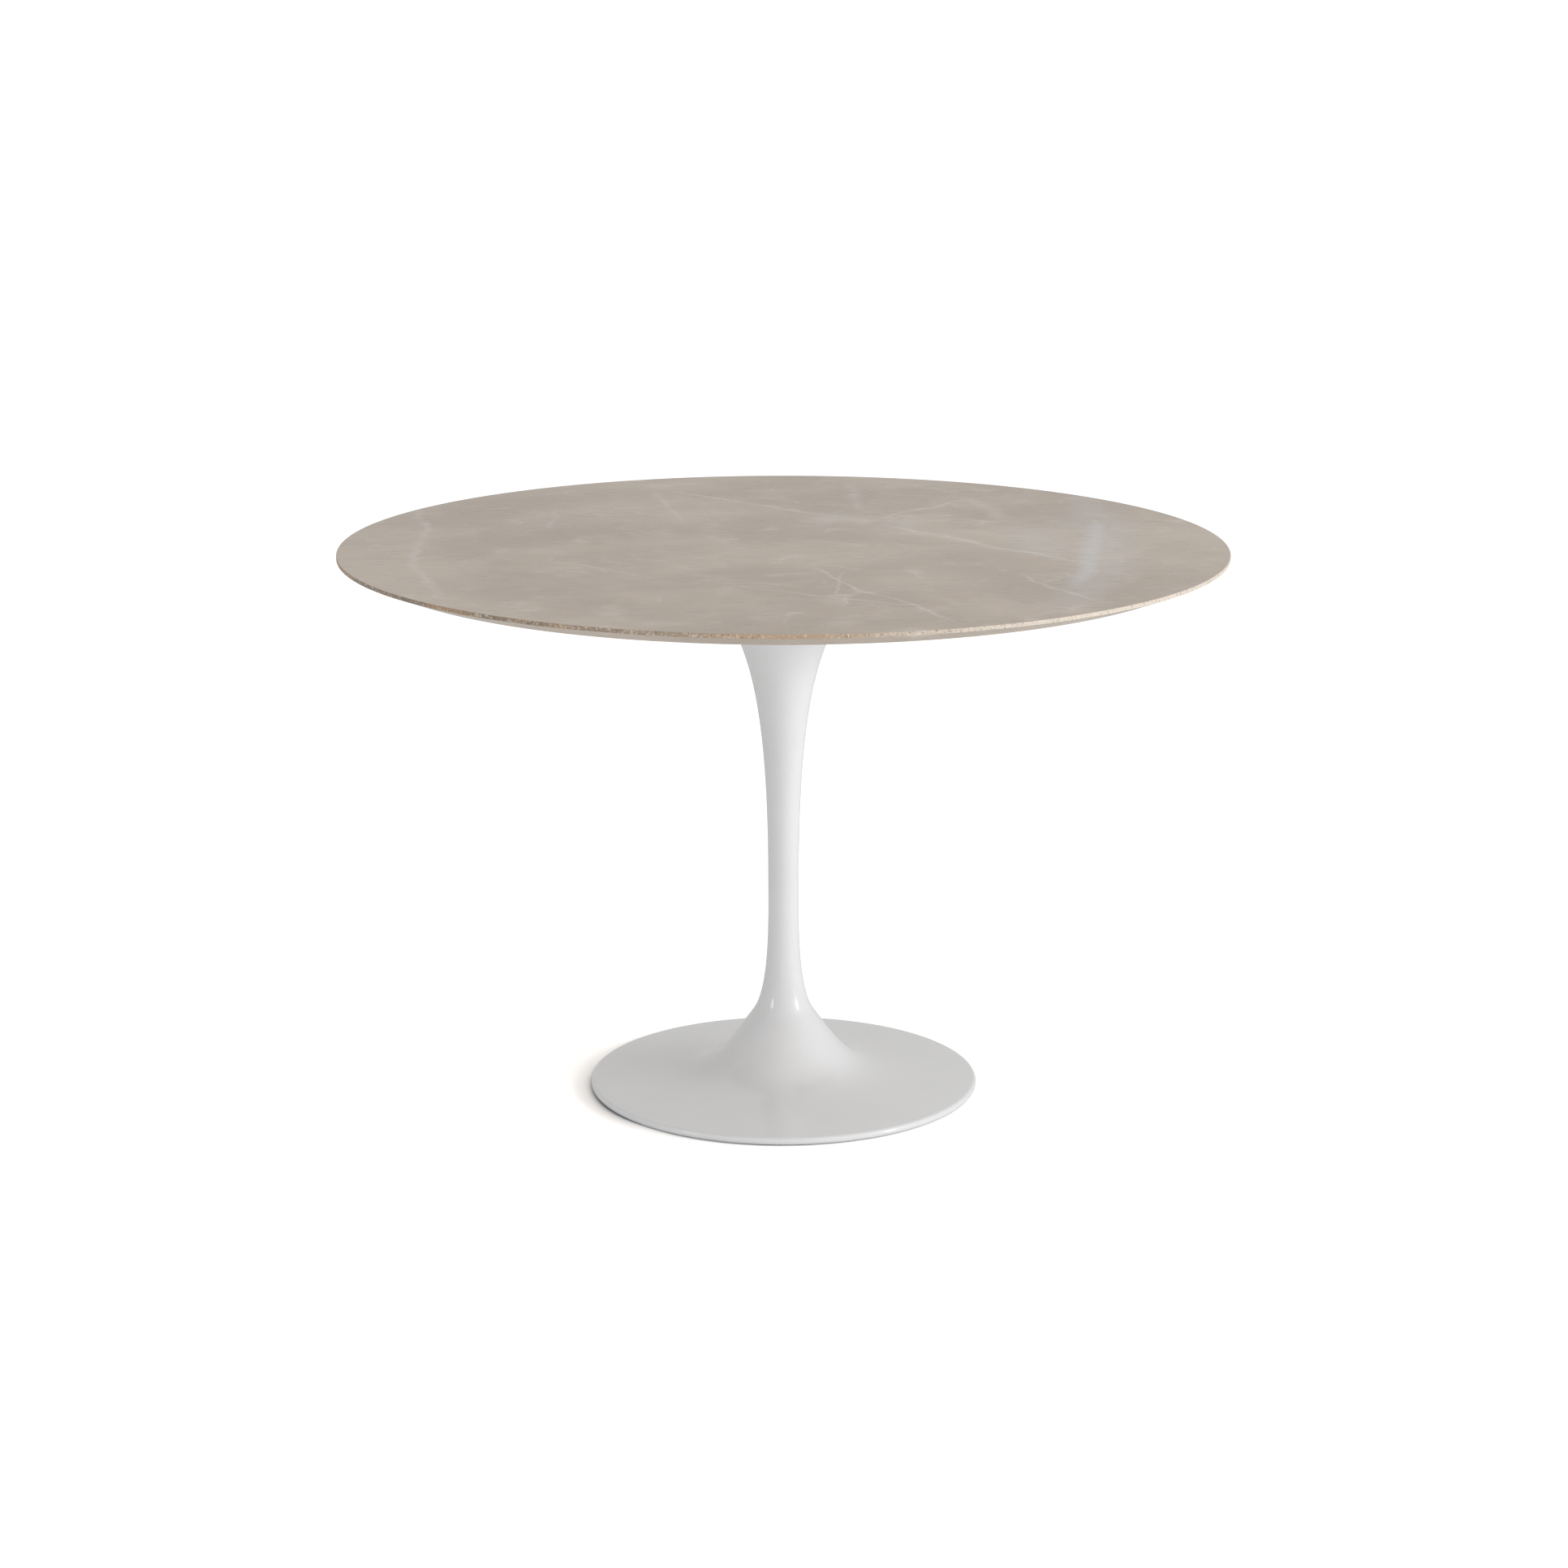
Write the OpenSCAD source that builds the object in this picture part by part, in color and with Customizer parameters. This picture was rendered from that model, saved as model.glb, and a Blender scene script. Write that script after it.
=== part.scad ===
// Round pedestal table, built from its separate pieces.
// Units are mm. The origin is on the floor at the centre of the foot, +Z is up, the front is -Y.

/* [Top] */
// Diameter of the stone top
top_d = 1200; // [900:10:1400]
// Height of the table's upper surface above the floor
table_h = 762; // [700:1:800]
// Thickness of the stone
top_t = 22; // [18:1:30]
// Height of the upright edge above the bevel
edge_h = 5.5; // [4:0.5:12]
// How far the bevel runs in under the edge
bevel_run = 44; // [20:1:90]

/* [Pedestal] */
// Radius of the foot at its widest
foot_r = 269; // [235:1:330]
// Radius of the rounded rim of the foot
rim_r = 5.25; // [3:0.25:8]
// Radius of the stem at its waist
waist_r = 21.25; // [18:0.25:40]
// Height of the waist
waist_z = 294; // [200:1:400]
// Radius of the flared head
head_r = 128; // [115:1:135]
// Wall of the casting
wall = 6; // [5:0.5:7]

/* [Fixings] */
// Radius of the mounting plate
plate_r = 160; // [155:1:200]
// Radius of the circle of plate screws
screw_pcr = 145; // [142:1:180]
// Number of plate screws
screw_n = 6; // [4:1:8]
// Radius of the circle of levellers
leveller_pcr = 205; // [200:1:225]

/* [Hidden] */
$fn = 96;
play = 0.05; // between a screw, rod or stud and its threaded hole
past = 1; // how far a cut runs past the face that it opens

// Stone, sheet and plate, from the top down
arris = 1;
sheet_t = 2;
plate_t = 6;
stone_z = table_h - top_t;
plate_z = stone_z - sheet_t - plate_t;
insert_r = 6;
insert_h = 12;
insert_floor = 1;
plate_hole_r = 3.4;
m6_r = 3;
plate_screw_l = 20;
button_r = 5;
button_h = 4;
key_4_r = 2.31;
key_depth = 2.6;
plate_washer_t = 1.6;
dowel_r = 3;
dowel_l = 12;
dowel_in_plate = 4;
dowel_pcr = 104;

// Rod and clamp
rod_r = 8;
rod_bottom_z = 27.5;
rod_top_gap = 4;
rod_hole_r = 8.8;
hub_r = 22;
hub_h = 30;
web_z = 62;
web_t = 10;
web_r = 80;
clamp_r = 42;
clamp_t = 8;
rod_washer_r = 15;
rod_washer_t = 3;
spring_r = 13.7;
spring_t = 3.5;
nut_r = 13.86;
nut_h = 13;

// Foot, from the floor up
foot_z = 1.5;
recess_z = 5;
cavity_r = 168;
seat_r = 96;
seat_h = 16;
rib_n = 8;
rib_in_r = 48;
rib_t = 5;
rib_z = 12;
cover_r = 185;
cover_t = 1.5;
cover_play = 0.4;
cover_screw_pcr = 176;
cover_screw_r = 2;
cover_screw_l = 9;
cover_head_r = 3.8;
cover_head_h = 2.2;
key_2_5_r = 1.44;
glide_in_r = 246.3;
glide_out_r = 258;
glide_h = 7;
glide_play = 0.4;

// Levellers
m8_r = 4;
bush_r = 6.5;
bush_h = 8.8;
pad_z = 0.3;
pad_r = 12.5;
pad_h = 4;
pad_floor = 1.5;
pad_key_hole_r = 2.5;
stud_h = 11.4;
stud_key_depth = 4;

// A point on a cubic curve, and the same point moved in by w square to the curve.
function on_curve(p, t) =
    pow(1 - t, 3) * p[0] + 3 * pow(1 - t, 2) * t * p[1] + 3 * (1 - t) * t * t * p[2] + t * t * t * p[3];
function along(p, t) =
    pow(1 - t, 2) * (p[1] - p[0]) + 2 * (1 - t) * t * (p[2] - p[1]) + t * t * (p[3] - p[2]);
function inset(p, t, w) =
    on_curve(p, t) + w * [-along(p, t)[1], along(p, t)[0]] / norm(along(p, t));
function steps(p, n, w, first) = [for (i = [first : n]) inset(p, i / n, w)];

// The outline of the pedestal in three curves, from the rim in and up: foot, ankle and trumpet.
rim_c = foot_r - rim_r;
rim_top = foot_z + 2 * rim_r;
knee = [waist_r + 21.4, 106.4];
foot_curve = [[rim_c, rim_top], [103, 29.5], [107, 16.5], knee];
ankle_curve = [knee, [18.1, 139.5], [waist_r, 250], [waist_r, waist_z]];
head_curve = [[waist_r, waist_z], [waist_r, waist_z + 337], [70.3, plate_z - 74], [head_r, plate_z]];

module round_pattern(n, r, turn = 0) {
    for (i = [0 : n - 1])
        rotate([0, 0, turn + i * 360 / n])
            translate([r, 0, 0])
                children();
}

module tube(r_out, r_in, h) {
    difference() {
        cylinder(r = r_out, h = h);
        translate([0, 0, -past])
            cylinder(r = r_in, h = h + 2 * past);
    }
}

module hex_bar(r, h) {
    cylinder(r = r, h = h, $fn = 6);
}

// A slab with its upright edge above a long bevel, and blind holes for the inserts.
module table_top() {
    color("tan")
        difference() {
            rotate_extrude()
                polygon([
                    [0, stone_z],
                    [top_d / 2 - bevel_run, stone_z],
                    [top_d / 2, table_h - edge_h],
                    [top_d / 2, table_h - arris],
                    [top_d / 2 - arris, table_h],
                    [0, table_h]
                ]);
            round_pattern(screw_n, screw_pcr)
                translate([0, 0, stone_z - past])
                    cylinder(r = insert_r, h = insert_h + 2 * past);
        }
}

module top_inserts() {
    color("goldenrod")
        round_pattern(screw_n, screw_pcr)
            translate([0, 0, stone_z])
                difference() {
                    cylinder(r = insert_r, h = insert_h);
                    translate([0, 0, -past])
                        cylinder(r = m6_r + play, h = insert_h - insert_floor + past);
                }
}

module isolation_sheet() {
    color("saddlebrown")
        difference() {
            translate([0, 0, stone_z - sheet_t])
                cylinder(r = plate_r, h = sheet_t);
            round_pattern(screw_n, screw_pcr)
                translate([0, 0, stone_z - sheet_t - past])
                    cylinder(r = plate_hole_r, h = sheet_t + 2 * past);
        }
}

module mounting_plate() {
    color("white")
        difference() {
            translate([0, 0, plate_z])
                cylinder(r = plate_r, h = plate_t);
            round_pattern(screw_n, screw_pcr)
                translate([0, 0, plate_z - past])
                    cylinder(r = plate_hole_r, h = plate_t + 2 * past);
            round_pattern(2, dowel_pcr)
                translate([0, 0, plate_z - past])
                    cylinder(r = dowel_r, h = dowel_in_plate + past);
        }
}

module plate_hub() {
    color("silver")
        translate([0, 0, plate_z - hub_h])
            tube(hub_r, rod_r + play, hub_h);
}

module plate_screws() {
    head_z = plate_z - plate_washer_t - button_h;
    color("silver")
        round_pattern(screw_n, screw_pcr)
            difference() {
                union() {
                    translate([0, 0, head_z])
                        cylinder(r = button_r, h = button_h);
                    translate([0, 0, head_z + key_depth])
                        cylinder(r = m6_r, h = plate_screw_l);
                }
                translate([0, 0, head_z - past])
                    hex_bar(key_4_r, key_depth + past);
            }
}

module plate_washers() {
    color("silver")
        round_pattern(screw_n, screw_pcr)
            translate([0, 0, plate_z - plate_washer_t])
                tube(insert_r, m6_r + 0.2, plate_washer_t);
}

module dowel_pins() {
    color("silver")
        round_pattern(2, dowel_pcr)
            translate([0, 0, plate_z + dowel_in_plate - dowel_l])
                cylinder(r = dowel_r, h = dowel_l);
}

// The outside of the casting, solid down to the underside of its rim.
module casting_body() {
    rotate_extrude()
        polygon(concat(
            [[0, foot_z], [rim_c, foot_z]],
            [for (a = [-75 : 15 : 75]) [rim_c + rim_r * cos(a), foot_z + rim_r + rim_r * sin(a)]],
            steps(foot_curve, 32, 0, 0),
            steps(ankle_curve, 18, 0, 1),
            steps(head_curve, 32, 0, 1),
            [[0, plate_z]]
        ));
}

// The same outline moved in by w. It runs past the casting's faces below and above.
module casting_core(w) {
    rotate_extrude()
        polygon(concat(
            [[0, foot_z - past], [rim_c - w, foot_z - past]],
            steps(foot_curve, 24, w, 0),
            steps(ankle_curve, 14, w, 1),
            steps(head_curve, 24, w, 1),
            [[0, plate_z + w]]
        ));
}

// The hollow inside: the space under the foot, the stem's bore and the trumpet below its seat.
module casting_hollow() {
    flange_top = 40;
    difference() {
        casting_core(wall);
        translate([0, 0, foot_z - 2 * past])
            tube(foot_r, cavity_r, flange_top);
        translate([0, 0, plate_z - seat_h])
            tube(head_r + wall, seat_r, seat_h + 2 * wall);
    }
    translate([0, 0, plate_z - seat_h])
        cylinder(r = seat_r, h = seat_h + past);
}

// The web that the clamp plate pulls on, and the ribs that carry it out to the foot.
module stiffeners() {
    intersection() {
        casting_core(wall / 2);
        union() {
            translate([0, 0, web_z])
                cylinder(r = web_r, h = web_t);
            round_pattern(rib_n, rib_in_r)
                translate([0, -rib_t / 2, rib_z])
                    cube([cavity_r - rib_in_r, rib_t, web_z - rib_z + past]);
        }
    }
}

module pedestal_casting() {
    color("whitesmoke")
        difference() {
            union() {
                difference() {
                    casting_body();
                    casting_hollow();
                }
                stiffeners();
            }
            translate([0, 0, foot_z - past])
                cylinder(r = glide_out_r + glide_play, h = recess_z - foot_z + past);
            translate([0, 0, foot_z])
                tube(glide_out_r + glide_play, glide_in_r - glide_play, glide_h - foot_z);
            translate([0, 0, foot_z])
                cylinder(r = cover_r, h = recess_z + cover_t - foot_z);
            translate([0, 0, web_z - past])
                cylinder(r = rod_hole_r, h = web_t + 2 * past);
            round_pattern(2, dowel_pcr)
                translate([0, 0, plate_z + dowel_in_plate - dowel_l])
                    cylinder(r = dowel_r, h = dowel_l);
            round_pattern(4, cover_screw_pcr, 22.5)
                translate([0, 0, recess_z])
                    cylinder(r = cover_screw_r + play, h = cover_screw_l + past);
            round_pattern(4, leveller_pcr, 45)
                translate([0, 0, recess_z - past])
                    cylinder(r = bush_r, h = bush_h + past);
        }
}

module tie_rod() {
    color("silver")
        translate([0, 0, rod_bottom_z])
            cylinder(r = rod_r, h = plate_z - rod_top_gap - rod_bottom_z);
}

module clamp_plate() {
    color("dimgray")
        translate([0, 0, web_z - clamp_t])
            tube(clamp_r, rod_hole_r, clamp_t);
}

module rod_washer() {
    color("silver")
        translate([0, 0, web_z - clamp_t - rod_washer_t])
            tube(rod_washer_r, rod_r + 0.5, rod_washer_t);
}

// A split washer: the slot is cut on a slant through one side.
module rod_spring_washer() {
    slot_w = 1.2;
    color("gray")
        translate([0, 0, web_z - clamp_t - rod_washer_t - spring_t])
            difference() {
                tube(spring_r, rod_r + 0.3, spring_t);
                translate([(rod_r + spring_r) / 2, 0, spring_t / 2])
                    rotate([30, 0, 0])
                        cube([spring_r, slot_w, 4 * spring_t], center = true);
            }
}

module rod_nut() {
    color("silver")
        translate([0, 0, web_z - clamp_t - rod_washer_t - spring_t - nut_h])
            difference() {
                hex_bar(nut_r, nut_h);
                translate([0, 0, -past])
                    cylinder(r = rod_r + play, h = nut_h + 2 * past);
            }
}

module foot_cover() {
    color("black")
        difference() {
            translate([0, 0, recess_z])
                cylinder(r = cover_r - cover_play, h = cover_t);
            round_pattern(4, cover_screw_pcr, 22.5)
                translate([0, 0, recess_z - past])
                    cylinder(r = cover_screw_r + 0.3, h = cover_t + 2 * past);
        }
}

module cover_screws() {
    head_z = recess_z - cover_head_h;
    color("silver")
        round_pattern(4, cover_screw_pcr, 22.5)
            difference() {
                union() {
                    translate([0, 0, head_z])
                        cylinder(r = cover_head_r, h = cover_head_h);
                    translate([0, 0, recess_z - past])
                        cylinder(r = cover_screw_r, h = cover_screw_l);
                }
                translate([0, 0, head_z - past])
                    hex_bar(key_2_5_r, 2 * past);
            }
}

module glide_ring() {
    color("lightgray")
        tube(glide_out_r, glide_in_r, glide_h);
}

module leveller_bushes() {
    color("goldenrod")
        round_pattern(4, leveller_pcr, 45)
            translate([0, 0, recess_z])
                tube(bush_r, m8_r + play, bush_h);
}

// A pad with a socket for the stud's end, and a hole up to the stud for the key.
module leveller_pad(turn) {
    color("black")
        rotate([0, 0, turn])
            translate([leveller_pcr, 0, pad_z])
                difference() {
                    cylinder(r = pad_r, h = pad_h);
                    translate([0, 0, pad_floor])
                        cylinder(r = m8_r + play, h = pad_h);
                    translate([0, 0, -past])
                        cylinder(r = pad_key_hole_r, h = pad_h);
                }
}

module leveller_stud(turn) {
    color("silver")
        rotate([0, 0, turn])
            translate([leveller_pcr, 0, pad_z + pad_floor + play])
                difference() {
                    cylinder(r = m8_r, h = stud_h);
                    translate([0, 0, -past])
                        hex_bar(key_4_r, stud_key_depth + past);
                }
}

module leveller_pad_1() { leveller_pad(225); }
module leveller_pad_2() { leveller_pad(315); }
module leveller_pad_3() { leveller_pad(45); }
module leveller_pad_4() { leveller_pad(135); }
module leveller_stud_1() { leveller_stud(225); }
module leveller_stud_2() { leveller_stud(315); }
module leveller_stud_3() { leveller_stud(45); }
module leveller_stud_4() { leveller_stud(135); }

table_top();
top_inserts();
isolation_sheet();
mounting_plate();
plate_hub();
plate_screws();
plate_washers();
dowel_pins();
pedestal_casting();
tie_rod();
clamp_plate();
rod_washer();
rod_spring_washer();
rod_nut();
foot_cover();
cover_screws();
glide_ring();
leveller_bushes();
leveller_pad_1();
leveller_pad_2();
leveller_pad_3();
leveller_pad_4();
leveller_stud_1();
leveller_stud_2();
leveller_stud_3();
leveller_stud_4();
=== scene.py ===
# Round pedestal table: the looks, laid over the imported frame.
import math

import bpy
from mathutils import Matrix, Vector


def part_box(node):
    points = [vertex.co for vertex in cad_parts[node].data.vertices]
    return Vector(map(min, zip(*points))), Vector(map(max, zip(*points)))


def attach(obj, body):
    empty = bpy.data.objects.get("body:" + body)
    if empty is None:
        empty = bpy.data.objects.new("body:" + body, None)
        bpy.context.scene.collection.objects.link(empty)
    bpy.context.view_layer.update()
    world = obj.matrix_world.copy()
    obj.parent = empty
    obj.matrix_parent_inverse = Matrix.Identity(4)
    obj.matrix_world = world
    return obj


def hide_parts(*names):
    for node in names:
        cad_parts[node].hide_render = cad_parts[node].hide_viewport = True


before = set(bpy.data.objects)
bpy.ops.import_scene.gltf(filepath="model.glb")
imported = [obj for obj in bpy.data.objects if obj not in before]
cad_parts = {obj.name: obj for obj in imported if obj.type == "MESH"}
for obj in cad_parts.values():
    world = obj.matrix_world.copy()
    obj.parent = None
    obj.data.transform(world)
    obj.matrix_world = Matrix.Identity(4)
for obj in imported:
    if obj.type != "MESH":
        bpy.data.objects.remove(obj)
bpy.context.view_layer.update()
bpy.ops.object.select_all(action="DESELECT")


# ---- Camera and studio ----
# The table stands on a white floor in a white room. A big soft lamp lights it from the right, a
# low one fills in under the top, and two small ones put the glints on the pedestal's gloss alone.
camera_side = 0.0007
camera_back = 4.839
camera_up = 1.627
camera_tilt = 13.89
camera_lens = 83.4
room_strength = 0.66

bpy.ops.object.camera_add(
    location=(camera_side, -camera_back, camera_up),
    rotation=(math.radians(90 - camera_tilt), 0, 0),
)
camera = bpy.context.object
camera.name = "camera"
camera.data.sensor_width = 36.0
camera.data.lens = camera_lens
bpy.context.scene.camera = camera
bpy.context.scene.view_settings.view_transform = "Standard"

room = bpy.data.worlds.new("white_room")
bpy.context.scene.world = room
room.use_nodes = True
room_light = room.node_tree.nodes["Background"]
room_light.inputs["Color"].default_value = (1.0, 1.0, 1.0, 1.0)
seen = room.node_tree.nodes.new("ShaderNodeLightPath")
strength = room.node_tree.nodes.new("ShaderNodeMapRange")
strength.inputs["To Min"].default_value = room_strength
strength.inputs["To Max"].default_value = 1.0
room.node_tree.links.new(seen.outputs["Is Camera Ray"], strength.inputs["Value"])
room.node_tree.links.new(strength.outputs["Result"], room_light.inputs["Strength"])


def lamp(name, place, aim, width, height, watts):
    """A flat rectangular lamp at a place, turned to face a point."""
    bpy.ops.object.light_add(type="AREA", location=place)
    light = bpy.context.object
    light.name = name
    light.data.shape = "RECTANGLE"
    light.data.size = width
    light.data.size_y = height
    light.data.energy = watts
    light.rotation_euler = (Vector(aim) - Vector(place)).to_track_quat("-Z", "Y").to_euler()
    return light


key_lamp = lamp("key_lamp", (3.8, -1.2, 1.45), (0, 0, 0.4), 3.0, 0.8, 78)
low_lamp = lamp("low_lamp", (0.2, -4.4, 0.3), (0, 0, 0.6), 2.4, 0.5, 29)
key_lamp.visible_glossy = False
low_lamp.visible_glossy = False
glint_right = lamp("glint_right", (3.5, -1.7, 1.3), (0, 0, 0.1), 0.50, 0.75, 48)
glint_left = lamp("glint_left", (-3.2, -2.3, 1.3), (0, 0, 0.1), 0.60, 0.80, 7)
glint_right.visible_diffuse = False
glint_left.visible_diffuse = False
glossed = bpy.data.collections.new("glossed")
glint_right.light_linking.receiver_collection = glossed
glint_left.light_linking.receiver_collection = glossed


def put(tree, kind, inputs=None, **settings):
    """Adds a shader node, sets its properties, and sets or feeds its named sockets."""
    node = tree.nodes.new(kind)
    for name, value in settings.items():
        setattr(node, name, value)
    for name, value in (inputs or {}).items():
        if isinstance(value, bpy.types.NodeSocket):
            tree.links.new(value, node.inputs[name])
        else:
            node.inputs[name].default_value = value
    return node


def calc(tree, operation, first, second=0.0, third=0.0):
    """One step of arithmetic on numbers or sockets."""
    node = put(tree, "ShaderNodeMath", {0: first, 1: second}, operation=operation)
    if operation == "MULTIPLY_ADD":
        if isinstance(third, bpy.types.NodeSocket):
            tree.links.new(third, node.inputs[2])
        else:
            node.inputs[2].default_value = third
    return node.outputs[0]


def span(tree, value, low, high, to_low=0.0, to_high=1.0):
    """Eases a value from low..high into to_low..to_high, and holds it there outside."""
    limits = {"Value": value, "From Min": low, "From Max": high, "To Min": to_low, "To Max": to_high}
    node = put(tree, "ShaderNodeMapRange", limits, interpolation_type="SMOOTHSTEP")
    return node.outputs["Result"]


def blend(tree, share, under, over, how="MIX"):
    """Lays one colour over another by a share from 0 to 1."""
    parts = {0: share, 6: under, 7: over}
    return put(tree, "ShaderNodeMix", parts, data_type="RGBA", blend_type=how).outputs[2]


def noise(tree, place, scale, detail=4.0, rough=0.5, twist=0.0):
    """A cloud pattern; place is a coordinate socket and scale is in clouds per metre."""
    clouds = {"Vector": place, "Scale": scale, "Detail": detail, "Roughness": rough, "Distortion": twist}
    return put(tree, "ShaderNodeTexNoise", clouds)


def finish_named(name):
    """A new material with its shader, and the place on the piece that its patterns read."""
    material = bpy.data.materials.new(name)
    material.use_nodes = True
    tree = material.node_tree
    place = put(tree, "ShaderNodeTexCoord").outputs["Object"]
    return material, tree, tree.nodes["Principled BSDF"], place


# To the camera the floor is as white as the room, but for a tight painted shadow under the foot's left side.
camera_lift = 0.92
contact_reach = 0.027
floor_r = 80
floor_finish, tree, shader, place = finish_named("studio_floor")
paper = noise(tree, place, 3.0, 3.0).outputs["Fac"]
white = blend(tree, paper, (0.86, 0.86, 0.86, 1), (0.90, 0.90, 0.90, 1))
to_camera = put(tree, "ShaderNodeLightPath").outputs["Is Camera Ray"]
lift = calc(tree, "MULTIPLY_ADD", to_camera, camera_lift, 1.0)
# Painted shadow: occlusion near the foot darkens the floor's colour, on the left side only.
open_sky = put(tree, "ShaderNodeAmbientOcclusion", {"Distance": contact_reach}).outputs["AO"]
painted_shadow_side = span(tree, put(tree, "ShaderNodeSeparateXYZ", {0: place}).outputs["X"], -0.18, -0.26)
lift = calc(tree, "MULTIPLY", lift, calc(tree, "POWER", open_sky, painted_shadow_side))
tree.links.new(blend(tree, 1.0, white, lift, "MULTIPLY"), shader.inputs["Base Color"])
shader.inputs["Roughness"].default_value = 0.9
shader.inputs["Specular IOR Level"].default_value = 0.1
bpy.ops.mesh.primitive_circle_add(vertices=128, radius=floor_r, fill_type="NGON", location=(0, 0, 0))
floor = bpy.context.object
floor.name = "studio_floor"
floor.data.materials.append(floor_finish)


# ---- Stone top ----
# One slab of warm grey-brown marble, sawn round, with a narrow upright edge and a long bevel
# cut in under it. The face is honed and waxed, and the edges are only rubbed smooth.
stone_low, stone_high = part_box("table_top")
stone_r = stone_high.x
edge_h = 0.0055
bevel_run = 0.044
arris = 0.0010
insert_r = 0.006
insert_hole_h = 0.013
screw_pcr = 0.145
screw_n = 6
# How far a cutter runs past the face that it cuts.
past = 0.001


def pick(piece, kind, test):
    """In edit mode, selects only the faces (by middle and normal) or edges (by both ends) that pass."""
    bpy.ops.object.mode_set(mode="OBJECT")
    mesh = piece.data
    for items in (mesh.vertices, mesh.edges, mesh.polygons):
        items.foreach_set("select", [False] * len(items))
    if kind == "FACE":
        for face in mesh.polygons:
            face.select = test(face.center, face.normal)
    else:
        for edge in mesh.edges:
            edge.select = all(test(mesh.vertices[i].co) for i in edge.vertices)
    bpy.ops.object.mode_set(mode="EDIT")
    bpy.ops.mesh.select_mode(type=kind)


def apply(piece, kind, **settings):
    """Adds a modifier to a piece and applies it."""
    modifier = piece.modifiers.new(kind.lower(), kind)
    for name, value in settings.items():
        setattr(modifier, name, value)
    bpy.context.view_layer.objects.active = piece
    bpy.ops.object.modifier_apply(modifier=modifier.name)


def cut(piece, cutter):
    """Cuts one shape out of a piece and throws the cutter away."""
    apply(piece, "BOOLEAN", operation="DIFFERENCE", object=cutter, solver="EXACT")
    bpy.data.objects.remove(cutter)


def smooth(piece, angle=35):
    """Smooth shading that keeps flat faces flat beside their rounded edges."""
    bpy.ops.object.select_all(action="DESELECT")
    piece.select_set(True)
    bpy.context.view_layer.objects.active = piece
    bpy.ops.object.shade_smooth_by_angle(angle=math.radians(angle))
    apply(piece, "WEIGHTED_NORMAL", weight=100, keep_sharp=True)


def ring_of_rods(name, count, ring_r, rod_r, low, high, turn=0.0):
    """Upright round rods set out on a circle, as one cutter."""
    bpy.ops.object.select_all(action="DESELECT")
    rods = []
    for i in range(count):
        a = math.radians(turn) + i * math.tau / count
        middle = (ring_r * math.cos(a), ring_r * math.sin(a), (low + high) / 2)
        bpy.ops.mesh.primitive_cylinder_add(vertices=32, radius=rod_r, depth=high - low, location=middle)
        rods.append(bpy.context.object)
    for rod in rods:
        rod.select_set(True)
    bpy.ops.object.join()
    bpy.context.object.name = name
    bpy.ops.object.transform_apply(location=True, rotation=True, scale=True)
    return bpy.context.object


bpy.ops.object.select_all(action="DESELECT")
bpy.ops.mesh.primitive_cylinder_add(
    vertices=288,
    radius=stone_r,
    depth=stone_high.z - stone_low.z,
    end_fill_type="NGON",
    location=(0, 0, (stone_low.z + stone_high.z) / 2),
)
stone = bpy.context.object
stone.name = "stone_top"
bpy.ops.object.transform_apply(location=True)
bpy.ops.object.mode_set(mode="EDIT")
bpy.ops.mesh.select_all(action="SELECT")
bpy.ops.mesh.bisect(plane_co=(0, 0, stone_high.z - edge_h), plane_no=(0, 0, 1))
pick(stone, "FACE", lambda middle, normal: normal.z < -0.9)
under_scale = (stone_r - bevel_run) / stone_r
bpy.ops.transform.resize(value=(under_scale, under_scale, 1))
pick(stone, "EDGE", lambda co: co.z > stone_high.z - 1e-4)
bpy.ops.mesh.bevel(offset=arris, segments=4, profile=0.5)
pick(stone, "EDGE", lambda co: abs(co.z - stone_high.z + edge_h) < 1e-4)
bpy.ops.mesh.bevel(offset=0.0006, segments=3, profile=0.5)
pick(stone, "EDGE", lambda co: co.z < stone_low.z + 1e-4)
bpy.ops.mesh.bevel(offset=0.0012, segments=3, profile=0.5)
bpy.ops.object.mode_set(mode="OBJECT")
hole_bottom, hole_top = stone_low.z - 2 * past, stone_low.z + insert_hole_h
cut(stone, ring_of_rods("insert_holes", screw_n, screw_pcr, insert_r, hole_bottom, hole_top))
smooth(stone)


def group_named(name, inputs, outputs):
    """A new shader node group with its sockets, given as name and kind."""
    group = bpy.data.node_groups.new(name, "ShaderNodeTree")
    for socket, kind in inputs:
        group.interface.new_socket(socket, in_out="INPUT", socket_type="NodeSocket" + kind)
    for socket, kind in outputs:
        group.interface.new_socket(socket, in_out="OUTPUT", socket_type="NodeSocket" + kind)
    start = group.nodes.new("NodeGroupInput")
    end = group.nodes.new("NodeGroupOutput")
    return group, start.outputs, end.inputs


# A vein is a soft line of set length and width, which can bow to one side.
vein_group, given, made = group_named(
    "vein",
    (("Place", "Vector"), ("Centre", "Vector"), ("Heading", "Float"), ("Half Length", "Float"),
     ("Half Width", "Float"), ("Bow", "Float")),
    (("Mask", "Float"),),
)
from_centre = {0: given["Place"], 1: given["Centre"]}
offset = put(vein_group, "ShaderNodeVectorMath", from_centre, operation="SUBTRACT").outputs[0]
swing = {"Vector": offset, "Angle": given["Heading"]}
headed = put(vein_group, "ShaderNodeVectorRotate", swing, rotation_type="Z_AXIS").outputs[0]
axes = put(vein_group, "ShaderNodeSeparateXYZ", {0: headed}).outputs
bowed = calc(vein_group, "MULTIPLY", calc(vein_group, "MULTIPLY", axes["X"], axes["X"]), given["Bow"])
across = calc(vein_group, "ABSOLUTE", calc(vein_group, "SUBTRACT", axes["Y"], bowed))
beside = span(vein_group, calc(vein_group, "DIVIDE", across, given["Half Width"]), 1.0, 0.0)
along = calc(vein_group, "DIVIDE", calc(vein_group, "ABSOLUTE", axes["X"]), given["Half Length"])
ends = span(vein_group, along, 1.0, 0.55)
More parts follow.
